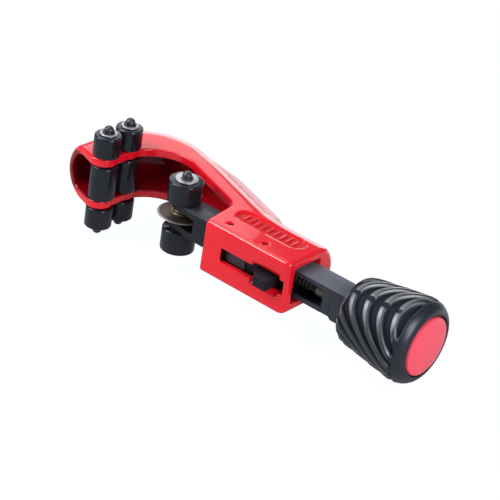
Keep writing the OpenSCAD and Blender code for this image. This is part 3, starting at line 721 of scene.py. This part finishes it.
class PlanMap:
    """Plan distances on a fine grid, read between its points."""

    def __init__(self):
        self.step = 0.4
        self.low, high = np.array([-30.0, -22.0]), (136.0, 60.0)
        xs, ys = [np.arange(a, b, self.step) for a, b in zip(self.low, high)]
        self.shape = len(xs), len(ys)
        spots = np.stack(np.meshgrid(xs, ys, indexing="ij"), -1).reshape(-1, 2)
        line = back_line()
        gap, which, share = distance_to(line, spots)
        a, b = line[which], line[which + 1]
        side = (b[:, 0] - a[:, 0]) * (spots[:, 1] - a[:, 1]) - (b[:, 1] - a[:, 1]) * (spots[:, 0] - a[:, 0])
        back = np.where(side > 0, gap, -gap)
        swell = bulge(a[:, 0] + (b[:, 0] - a[:, 0]) * share)
        edge = throat_line()
        gap, _, _ = distance_to(edge, spots, True)
        inside = np.zeros(len(spots), bool)
        nxt = np.roll(edge, -1, 0)
        for (x0, y0), (x1, y1) in zip(edge, nxt):
            if y0 == y1:
                continue
            cross = ((y0 > spots[:, 1]) != (y1 > spots[:, 1])) & (
                spots[:, 0] < (x1 - x0) * (spots[:, 1] - y0) / (y1 - y0) + x0)
            inside ^= cross
        throat = np.where(inside, -gap, gap)
        self.maps = np.stack([back, swell, throat], -1).reshape(self.shape + (3,))

    def read(self, x, y):
        """Distance behind the flange edge, swell there and distance past the throat edge."""
        u = np.clip((x - self.low[0]) / self.step, 0, self.shape[0] - 1.001)
        v = np.clip((y - self.low[1]) / self.step, 0, self.shape[1] - 1.001)
        i, j = u.astype(int), v.astype(int)
        u, v = (u - i)[..., None], (v - j)[..., None]
        m = self.maps
        near, far = [m[i, k] * (1 - u) + m[i + 1, k] * u for k in (j, j + 1)]
        return np.moveaxis(near * (1 - v) + far * v, -1, 0)


def both(a, b, r):
    """Intersection with a round of radius r."""
    return np.minimum(-r, np.maximum(a, b)) + np.hypot(np.maximum(a + r, 0), np.maximum(b + r, 0))


def either(a, b, r):
    """Union with a round of radius r."""
    return -both(-a, -b, r)


def block(x, y, z, low, high, r):
    """Distance to a box with edges rounded by r."""
    q = [np.abs(v - (a + b) / 2) - (b - a) / 2 + r for v, a, b in zip((x, y, z), low, high)]
    out = np.sqrt(sum(np.maximum(v, 0) ** 2 for v in q))
    return out + np.minimum(np.maximum(np.maximum(q[0], q[1]), q[2]), 0) - r


def casting_field(plan, x, y, z, s):
    """Signed distance to the frame casting, about, in millimetres."""
    back, swell, throat = plan.read(x, y)
    tall = np.abs(z)
    # Outside: flat top and underside, near face, throat edge and rounded back
    radius = (HALF ** 2 + swell ** 2) / (2 * swell)
    mid = swell - radius
    outer = np.hypot(np.maximum(back - mid, 0), z) - radius
    inner = outer + WALL
    shell = both(tall - HALF, both(FRONT_Y - y, x - 130.0, s.corner_round), s.housing_round)
    shell = both(shell, throat, s.rim_round)
    palm = np.clip((swell - SWELL) / PALM, 0, 1)
    bow = swell + PALM_BOW * palm
    swollen = (back - bow * (1 - (z / HALF) ** 2)) / np.sqrt(1 + (2 * bow * z / HALF ** 2) ** 2)
    shell = both(shell, outer + (swollen - outer) * palm, s.top_round * (3 - 2 * palm))
    # Hollow between the flanges and through the housing, with the slide's rails
    side = np.minimum(x - 75.0, np.maximum(x - 86.0, WALL_Y - y))
    hollow = both(both(tall - INNER, inner, 1.6), side, 0.4)
    tunnel = both(both(tall - INNER, np.maximum(y - 9.0, WALL_Y - y), 1.0), 72.0 - x, 0.3)
    body = both(shell, -either(hollow, tunnel, 0.5), s.inner_round)
    for y0, z0, y1, z1, x0, x1 in rails():
        for sign in (-1, 1):
            body = np.minimum(body, block(x, y, sign * z, (x0, y0, z0), (x1, y1, z1), 0.25))
    # Window with its scallop for the thumb, and the lever's pocket behind it
    window = block(x, y, z, (WINDOW_START, -20.0, -WINDOW_HALF), (WINDOW_STOP, -8.0, WINDOW_HALF), 0.5)
    pocket_start, scallop_y, scallop_rise = 83.4, -13.6, 2.8
    pocket = block(x, y, z, (pocket_start, -13.4, -9.3), (WINDOW_STOP, -7.6, 9.3), 0.8)
    pocket = np.minimum(pocket, block(x, y, z, (pocket_start, -15.1, -4.0), (88.2, -12.0, 4.0), 0.4))
    lean = (tall - WINDOW_HALF - scallop_rise * (scallop_y - y) / (scallop_y - FRONT_Y)) * 0.68
    thumb = both(both(lean, np.abs(x - THUMB_X) - 8.5, 0.6), y - scallop_y, 0.2)
    body = both(body, -np.minimum(window, thumb), 0.45)
    body = np.where(y < -9.0, both(body, -pocket, 0.2), body)
    # Long recess with its bars, then the bores
    along, across = np.abs(x - RECESS_X), y - RECESS_Y
    plate = np.hypot(np.maximum(along - RECESS_RUN, 0), across) - RECESS_R
    first_bar, bar_pitch = 86.1, 3.9125
    to_bar = (x - first_bar + bar_pitch / 2) % bar_pitch - bar_pitch / 2
    bars = np.maximum(np.maximum(np.abs(to_bar) - 0.6, np.abs(across) - 2.8), along - 16.5)
    recess = np.maximum(both(plate, 13.2 - z, 0.25), -np.maximum(bars, z - 14.1))
    body = both(body, -recess, 0.3)
    for places, bore in ((JAW_AXLES, AXLE_BORE), (LEVER_PINS, PIN_BORE)):
        for cx, cy in places:
            body = both(body, bore - np.hypot(x - cx, y - cy), 0.3)
    return body


def rails():
    """Guide rails of the housing: y, z, y, z, x, x of each, mirrored below."""
    rows = [(y, 7.7, y + 1.8, 10.3, 78.0, 124.0) for y in (-7.0, -0.9, 5.2)]
    return rows + [(7.2, 2.85, 9.5, 4.65, 78.0, 124.0), (-10.8, 5.35, -7.2, 7.3, 78.0, 82.0)]


def skin(field, low, step):
    """Surface net: one point in each cell that the surface crosses, joined by quads."""
    size = np.array(field.shape)
    cells = tuple(size - 1)
    total = np.zeros(cells + (3,))
    count = np.zeros(cells)
    crossings = []
    for axis in range(3):
        u, v = (axis + 1) % 3, (axis + 2) % 3
        first = np.take(field, range(size[axis] - 1), axis)
        second = np.take(field, range(1, size[axis]), axis)
        crossing = (first < 0) != (second < 0)
        share = np.where(crossing, first / np.where(crossing, first - second, 1), 0)
        crossings.append((crossing, first < 0))
        for a in (0, 1):
            for b in (0, 1):
                pick = [slice(None)] * 3
                pick[u], pick[v] = slice(a, a + cells[u]), slice(b, b + cells[v])
                c = crossing[tuple(pick)]
                count += c
                total[..., axis] += share[tuple(pick)]
                total[..., u] += c * a
                total[..., v] += c * b
    mixed = count > 0
    index = np.full(cells, -1)
    index[mixed] = np.arange(mixed.sum())
    points = (np.argwhere(mixed) + total[mixed] / count[mixed][:, None]) * step + low
    quads = []
    for axis, (crossing, starts_in) in enumerate(crossings):
        u, v = (axis + 1) % 3, (axis + 2) % 3
        at = np.argwhere(crossing)
        keep = (at[:, u] > 0) & (at[:, v] > 0) & (at[:, u] < cells[u]) & (at[:, v] < cells[v])
        at = at[keep]
        flip = starts_in[tuple(at.T)]
        step_u, step_v = np.zeros(3, int), np.zeros(3, int)
        step_u[u], step_v[v] = 1, 1
        ring = [index[tuple((at - move).T)] for move in (step_u * 0, step_u, step_u + step_v, step_v)]
        quad = np.stack(ring, -1)
        quad[~flip] = quad[~flip][:, ::-1]
        quads.append(quad)
    return points, np.concatenate(quads)


def casting_skin(s):
    """Points and quads of the casting: a surface net, drawn onto the field in three steps."""
    plan = PlanMap()
    step, slab, reach = s.voxel, 24, 0.06
    low = np.array([-26.2, -18.0, -16.0])
    high = np.array([131.5, 53.5, 16.0])
    axes = [np.arange(a, b + step, step) for a, b in zip(low, high)]
    grid = np.meshgrid(*axes, indexing="ij")
    field = np.concatenate([casting_field(plan, *[v[i:i + slab] for v in grid], s)
        for i in range(0, len(axes[0]), slab)])
    points, quads = skin(field, low, step)
    for _ in range(3):
        value = casting_field(plan, *points.T, s)
        slope = np.empty_like(points)
        for axis, nudge in enumerate(np.eye(3) * reach):
            ahead, behind = [casting_field(plan, *(points + way * nudge).T, s) for way in (1, -1)]
            slope[:, axis] = (ahead - behind) / (2 * reach)
        steep = np.maximum((slope ** 2).sum(1), 0.2)
        move = slope * (value / steep)[:, None]
        far = np.linalg.norm(move, axis=1)
        points = points - move * np.minimum(1, 0.5 * step / np.maximum(far, 1e-9))[:, None]
    return points, quads


# ---------------------------------------------------------------- operators


class CUTTER_OT_stage(bpy.types.Operator):
    """Camera, floor, world and lamps"""

    bl_idname = "cutter.stage"
    bl_label = "Stage"

    def execute(self, context):
        s = context.scene.cutter_stage
        az, el, roll = s.azimuth, s.elevation, s.roll
        back = Vector((math.sin(az) * math.cos(el), -math.cos(az) * math.cos(el), math.sin(el)))
        right = Vector((math.cos(az), math.sin(az), 0.0))
        up = back.cross(right)
        across = right * math.cos(roll) + up * math.sin(roll)
        upward = -right * math.sin(roll) + up * math.cos(roll)
        right_shift, up_shift = 34.559, -18.757
        aim = Vector((WHEEL_X, 0.0, 0.0)) + across * right_shift + upward * up_shift
        place = (back * s.distance + aim) * MM
        lens = bpy.data.cameras.new("photo_camera")
        lens.sensor_width, lens.sensor_fit = 36.0, "HORIZONTAL"
        photo_width, focal_pixels = 500.0, 2002.7
        lens.lens = focal_pixels / photo_width * lens.sensor_width
        lens.clip_start, lens.clip_end = 0.05, 20.0
        camera = place_object("photo_camera", lens)
        turn = Matrix((across, upward, back)).transposed().to_4x4()
        camera.matrix_world = Matrix.Translation(place) @ turn
        context.scene.camera = camera
        self.floor(CAD_LOW[2] / MM - s.floor_drop)
        self.room()
        self.lamp("key_lamp", (-250, -330, 500), (60, 0, 0), 260, 260, s.key_power)
        self.lamp("top_lamp", (-200, 60, 540), (20, 0, 0), 420, 420, s.key_power * 0.5)
        self.lamp("fill_lamp", (-500, -500, 260), (50, 0, 0), 260, 420, s.fill_power)
        self.lamp("rim_lamp", (-485, 470, 350), (40, 0, 0), 400, 400, s.rim_power)
        self.lamp("end_lamp", (570, -140, 250), (180, 0, 0), 220, 300, s.fill_power * 1.08)
        self.lamp("back_lamp", (-190, 620, 90), (70, 30, 0), 520, 200, s.rim_power * 1.4)
        context.scene.view_settings.view_transform = "Standard"
        return {"FINISHED"}

    def floor(self, level):
        """Round pale floor that the camera sees as nearly white, and mirrors see as darker towards the front."""
        edge, corners, middle = 700.0, 64, 90
        ring = [(x, y, level) for x, y in arc(middle, 0, edge, 0, 360 - 360 / corners, corners)]
        floor = piece_from("floor", ring, [range(corners)])
        p = Paint("pale_floor")
        paths = p.add("ShaderNodeLightPath")
        camera_ray, mirror_ray = [Val(p, paths.outputs[k]) for k in ("Is Camera Ray", "Is Glossy Ray")]
        seen = (camera_ray * 0.92).high(mirror_ray * 0.75)
        mirrored = p.y.ramp(30.0, 90.0) * 0.15 + p.y.ramp(110.0, 170.0) * 0.8 + 0.34
        glow = (camera_ray * 1.12).high(mirror_ray * mirrored)
        pale = p.mix(p.noise(40.0), (0.74, 0.74, 0.75), (0.77, 0.77, 0.78))
        matt = p.add("ShaderNodeBsdfPrincipled", {"Base Color": pale, "Roughness": 0.75})
        white = p.add("ShaderNodeEmission", {"Color": (0.93, 0.96, 1.0, 1.0), "Strength": glow})
        blend = p.add("ShaderNodeMixShader", {0: seen, 1: matt.outputs[0], 2: white.outputs[0]})
        floor.data.materials.append(p.show(blend))

    def room(self):
        """White to the camera, dim and bluish to the rest."""
        world = bpy.data.worlds.new("pale_room")
        world.use_nodes = True
        t = Tree(world.node_tree)
        seen = Val(t, t.add("ShaderNodeLightPath").outputs["Is Camera Ray"])
        ends = {6: (0.8, 0.87, 1.0, 1.0), 7: (1.0, 1.0, 1.0, 1.0)}
        shade = t.val("ShaderNodeMix", {0: seen, **ends}, 2, data_type="RGBA")
        sky = t.add("ShaderNodeBackground", {"Color": shade, "Strength": seen * 0.76 + 0.24})
        t.add("ShaderNodeOutputWorld", {0: sky.outputs[0]})
        bpy.context.scene.world = world

    def lamp(self, name, place, aim, wide, tall, power):
        """Oblong lamp at a place, turned to another, in millimetres and watts."""
        data = bpy.data.lights.new(name, "AREA")
        data.shape, data.size, data.size_y, data.energy = "RECTANGLE", wide * MM, tall * MM, power
        lamp = place_object(name, data)
        lamp.location = Vector(place) * MM
        lamp.rotation_euler = (Vector(aim) - Vector(place)).to_track_quat("-Z", "Y").to_euler()


class CUTTER_OT_casting(bpy.types.Operator):
    """Cast frame with its rounds, window, rails and recess"""

    bl_idname = "cutter.casting"
    bl_label = "Frame casting"

    def execute(self, context):
        points, quads = casting_skin(context.scene.cutter_casting)
        seat(piece_from("frame_casting_skin", points, quads, 50.0), "frame_casting")
        return {"FINISHED"}


class CUTTER_OT_rollers(bpy.types.Operator):
    """Jaw rollers and slide rollers, turned with rounded rims"""

    bl_idname = "cutter.rollers"
    bl_label = "Rollers"

    def execute(self, context):
        for side in ("near", "far"):
            for level in ("top", "middle", "bottom"):
                self.roller(side + "_" + level + "_roller", 0.85)
        for level in ("top", "bottom"):
            self.roller("slide_" + level + "_roller", 0.75)
        return {"FINISHED"}

    def roller(self, node, edge):
        centre, outer, low, high = round_node(node)
        chamfer = 0.35
        section = rounded_profile(AXLE_BORE + chamfer, outer, low, high, edge)
        section += [(AXLE_BORE, high - chamfer), (AXLE_BORE, low + chamfer)]
        seat(lathe(node + "_turned", section, 128, 30.0, centre), node)


class CUTTER_OT_axles(bpy.types.Operator):
    """Domed axles, washers and pins"""

    bl_idname = "cutter.axles"
    bl_label = "Axles and washers"

    def execute(self, context):
        domed, short = (2.9, 2.2), (0.8, 0.5)
        for node, lower_end in (("near_jaw_axle", domed), ("far_jaw_axle", domed), ("wheel_axle", short)):
            centre, r, low, high = round_node(node)
            section = self.end(high, r, *domed) + [(a, -b) for a, b in reversed(self.end(-low, r, *lower_end))]
            seat(lathe(node + "_turned", section, 64, 40.0, centre), node)
        self.washers("jaw_washers", JAW_AXLES, 4.6)
        self.washers("slide_washers", ((WHEEL_X, 0),), 5.9)
        for node in ("lever_pivot_pin", "lever_stop_pin"):
            softened(node, 0.3)
        return {"FINISHED"}

    def end(self, tip, r, tail, dome):
        """Outline of one axle end, from its tip to the far side of the clip groove."""
        groove, waist = tip - tail - 0.35, r - 0.5
        turns = np.linspace(0.2, math.pi / 2, 9)
        round_off = [(r * math.sin(a) ** 0.9, tip - dome * (1 - math.cos(a))) for a in turns]
        return [(0, tip)] + round_off + [(r, groove + 0.42), (waist, groove + 0.36), (waist, groove - 0.36),
            (r, groove - 0.42)]

    def washers(self, node, places, outer):
        """One washer on each end of each axle, placed by geometry nodes."""
        _, _, low, high = round_node(node)
        half, clear = 0.4, 0.03
        ring = rounded_profile(AXLE_BORE + clear, outer, -half, half, 0.22)
        seed = lathe(node + "_ring", ring, 64, 35.0, (0, 0))
        spots = [(x, y, z) for x, y in places for z in (high - half, low + half)]
        cloud = piece_from(node + "_turned", spots, [])
        t = Shaping("set_of_washers", {"Size": 1.0})
        ring_in = t.add("GeometryNodeObjectInfo", {"Object": seed}, transform_space="ORIGINAL")
        placed = t.add("GeometryNodeInstanceOnPoints",
            {"Points": t.start, "Instance": ring_in.outputs["Geometry"], "Scale": t.join(*t.values * 3)})
        real = t.add("GeometryNodeRealizeInstances", {0: placed.outputs[0]})
        t.dress(cloud, real, "washer_steel")
        bpy.data.objects.remove(seed)
        seat(cloud, node)


class CUTTER_OT_wheel(bpy.types.Operator):
    """Cutting wheel with a ground bevel and a stepped hub"""

    bl_idname = "cutter.wheel"
    bl_label = "Cutting wheel"

    def execute(self, context):
        _, outer, _, high = round_node("cutter_wheel")
        top = [(AXLE_BORE, high), (3.5, high), (3.7, high - 0.2), (3.7, 2.85), (4.5, 2.8), (4.7, 2.6), (4.7, 1.65),
            (5.8, 1.6), (6.0, 1.4), (6.05, 0.85), (6.6, 0.78), (9.0, 0.6), (11.4, 0.36), (outer, 0.06)]
        section = top + [(r, -h) for r, h in reversed(top)]
        seat(lathe("cutter_wheel_ground", section, 160, 22.0, (WHEEL_X, 0)), "cutter_wheel")
        return {"FINISHED"}


class CUTTER_OT_slide(bpy.types.Operator):
    """Slide, keeper, lever and small steel pieces, with softened edges"""

    bl_idname = "cutter.slide"
    bl_label = "Slide and lever"

    def execute(self, context):
        softened("slide_bar", 0.45)
        softened("screw_keeper", 0.25)
        softened("release_lever", 0.5, paint="lever")
        bending("lever_spring")
        for node in ("jaw_clips", "slide_clips"):
            softened(node, 0.1, segments=2)
        return {"FINISHED"}


class CUTTER_OT_screw(bpy.types.Operator):
    """Feed screw with a true right-hand helix"""

    bl_idname = "cutter.screw"
    bl_label = "Feed screw"

    def execute(self, context):
        s = context.scene.cutter_screw
        low, high, r, neck_r = SCREW_LOW[0], SCREW_HIGH[0], 4.0, 2.9
        profile = [(0, low), (2.4, low), (2.6, low + 0.2), (2.6, THREAD_START - 0.3)]
        profile += [(r, x) for x in np.arange(THREAD_START, THREAD_STOP, s.pitch / 10)]
        profile += [(3.9, THREAD_STOP + 0.3), (3.9, NECK_START - 0.2), (3.7, NECK_START), (neck_r, NECK_START + 0.02),
            (neck_r, NECK_STOP), (r, NECK_STOP + 0.02), (r, high - 0.2), (3.8, high), (0, high)]
        made = lathe("feed_screw_cut", profile, 64, 60.0)
        t = Shaping("cut_thread", {"Pitch": s.pitch, "Depth": s.depth, "Start": THREAD_START, "Stop": THREAD_STOP})
        pitch, depth, first, last = t.values
        x, y, z = t.place()
        turn = z.atan2(y) / (2 * math.pi)
        tooth = ((x / pitch - turn).fract() - 0.5).gauge() * 2.0
        cut = tooth.ramp(0.18, 0.72) * depth
        within = x.ramp(first, first + 0.6) * x.fall(last - 1.5, last)
        t.dress(made, t.draw_in(x, y, z, 1.0 - cut * within / r), "screw_steel")
        smooth(made, 60)
        seat(made, "feed_screw")
        return {"FINISHED"}


# Outline of the knob: share of its length from the front, share of its largest radius
KNOB_SHARES = [(0, 0.56), (0.012, 0.6), (0.023, 0.675), (0.045, 0.73), (0.07, 0.766), (0.125, 0.802),
    (0.24, 0.838), (0.38, 0.874), (0.52, 0.923), (0.63, 0.95), (0.75, 0.985), (0.81, 0.998), (0.86, 0.985),
    (0.91, 0.955), (0.945, 0.915), (0.97, 0.874), (0.988, 0.825), (1, 0.766)]


class CUTTER_OT_knob(bpy.types.Operator):
    """Knob with swirl grooves that meet at two seams"""

    bl_idname = "cutter.knob"
    bl_label = "Knob"

    def execute(self, context):
        s = context.scene.cutter_knob
        low, high = KNOB_LOW[0], KNOB_HIGH[0]
        run, largest, bore, floor = high - low, 22.2, 4.05, 190.0
        xs = np.linspace(0, 1, s.along)
        outline = [(float(largest * v), float(low + run * x)) for x, v in zip(xs, smooth_curve(xs, *zip(*KNOB_SHARES)))]
        section = [(bore, low)] + outline + [(16.4, high), (16.1, high - 0.3), (16.1, high - 1.5),
            (14.6, high - 1.5), (14.6, floor), (bore, floor)]
        made = lathe("knob_moulded", section, s.around, 0)
        t = Shaping("swirl_grooves", {"Depth": s.groove_depth, "Pitch": s.groove_pitch, "Sweep": s.sweep,
            "Seam": s.seam_angle, "Front": low, "Length": run})
        depth, pitch, sweep, seam, front, span = t.values
        x, y, z = t.place()
        reach = (y * y + z * z).root()
        groove, line = swirl_grooves(x, y, z, pitch, sweep, seam, front, span)
        cut = (depth * groove).high(line * 1.2) * reach.ramp(15.2, 16.4)
        t.dress(made, t.draw_in(x, y, z, (reach - cut) / reach), "knob_black")
        smooth(made, 55)
        seat(made, "knob")
        return {"FINISHED"}


def smooth_curve(xs, places, values):
    """Cubic through the given places, flat where the neighbours turn."""
    places, values = np.array(places, float), np.array(values, float)
    rise = np.diff(values) / np.diff(places)
    before, after = rise[:-1], rise[1:]
    inner = np.where(before * after > 0, 2 * before * after / (before + after + 1e-12), 0)
    slope = np.concatenate([[rise[0]], inner, [rise[-1]]])
    i = np.clip(np.searchsorted(places, xs) - 1, 0, len(places) - 2)
    w = places[i + 1] - places[i]
    t = (xs - places[i]) / w
    return ((2 * t ** 3 - 3 * t ** 2 + 1) * values[i] + (t ** 3 - 2 * t ** 2 + t) * w * slope[i]
        + (-2 * t ** 3 + 3 * t ** 2) * values[i + 1] + (t ** 3 - t ** 2) * w * slope[i + 1])


class CUTTER_OT_cap(bpy.types.Operator):
    """Domed cap in the knob's end"""

    bl_idname = "cutter.cap"
    bl_label = "Cap"

    def execute(self, context):
        low, high = node_mm("knob_cap")
        r = (high[1] - low[1]) / 2 - 0.25
        rim, spigot, inner, outer = high[0] - 3.4, 2.45, 13.35, 14.5
        edge = [(r - 0.25, rim), (r, rim + 0.3), (r, rim + 0.9), (r - 0.3, rim + 1.35)]
        dome = [(r * math.cos(a), rim + 1.2 + 2.2 * math.sin(a)) for a in np.linspace(0.22, math.pi / 2, 14)]
        dome[-1] = (0, high[0])
        section = [(0, low[0]), (spigot, low[0]), (spigot, rim - 0.05), (inner, rim - 0.05), (inner, rim - 4.5),
            (outer, rim - 4.5), (outer, rim)] + edge + dome
        seat(lathe("knob_cap_moulded", section, 128, 40.0), "knob_cap")
        return {"FINISHED"}


class CUTTER_OT_rest(bpy.types.Operator):
    """Finishes of the nodes that keep their own shape"""

    bl_idname = "cutter.rest"
    bl_label = "Other pieces"

    def execute(self, context):
        for node, made in frame["nodes"].items():
            made.data.materials.clear()
            made.data.materials.append(finishes()[SLOTS[node]])
        return {"FINISHED"}


class CUTTER_PT_panel(bpy.types.Panel):
    """Sizes, colours and steps of the tube cutter"""

    bl_idname = "CUTTER_PT_panel"
    bl_label = "Tube cutter"
    bl_space_type = "VIEW_3D"
    bl_region_type = "UI"
    bl_category = "Tube cutter"

    def draw(self, context):
        for kind in STEPS:
            self.layout.operator(kind.bl_idname)
        for key, group in GROUPS.items():
            box = self.layout.box()
            for name in group.__annotations__:
                box.prop(getattr(context.scene, key), name)


GROUPS = {"cutter_colours": CutterColours, "cutter_casting": CastingSizes, "cutter_knob": KnobSizes,
    "cutter_screw": ScrewSizes, "cutter_stage": StageSettings}
STEPS = (CUTTER_OT_stage, CUTTER_OT_rest, CUTTER_OT_casting, CUTTER_OT_rollers, CUTTER_OT_axles, CUTTER_OT_wheel,
    CUTTER_OT_slide, CUTTER_OT_screw, CUTTER_OT_knob, CUTTER_OT_cap)


KINDS = (*GROUPS.values(), *STEPS, CUTTER_PT_panel)


def register():
    for kind in KINDS:
        bpy.utils.register_class(kind)
    for key, group in GROUPS.items():
        setattr(bpy.types.Scene, key, PointerProperty(type=group))


def unregister():
    for key in GROUPS:
        delattr(bpy.types.Scene, key)
    for kind in reversed(KINDS):
        bpy.utils.unregister_class(kind)


def main():
    register()
    for kind in STEPS:
        group, name = kind.bl_idname.split(".")
        if "FINISHED" not in getattr(getattr(bpy.ops, group), name)():
            raise RuntimeError(kind.bl_label + " did not finish")


if __name__ == "__main__":
    main()
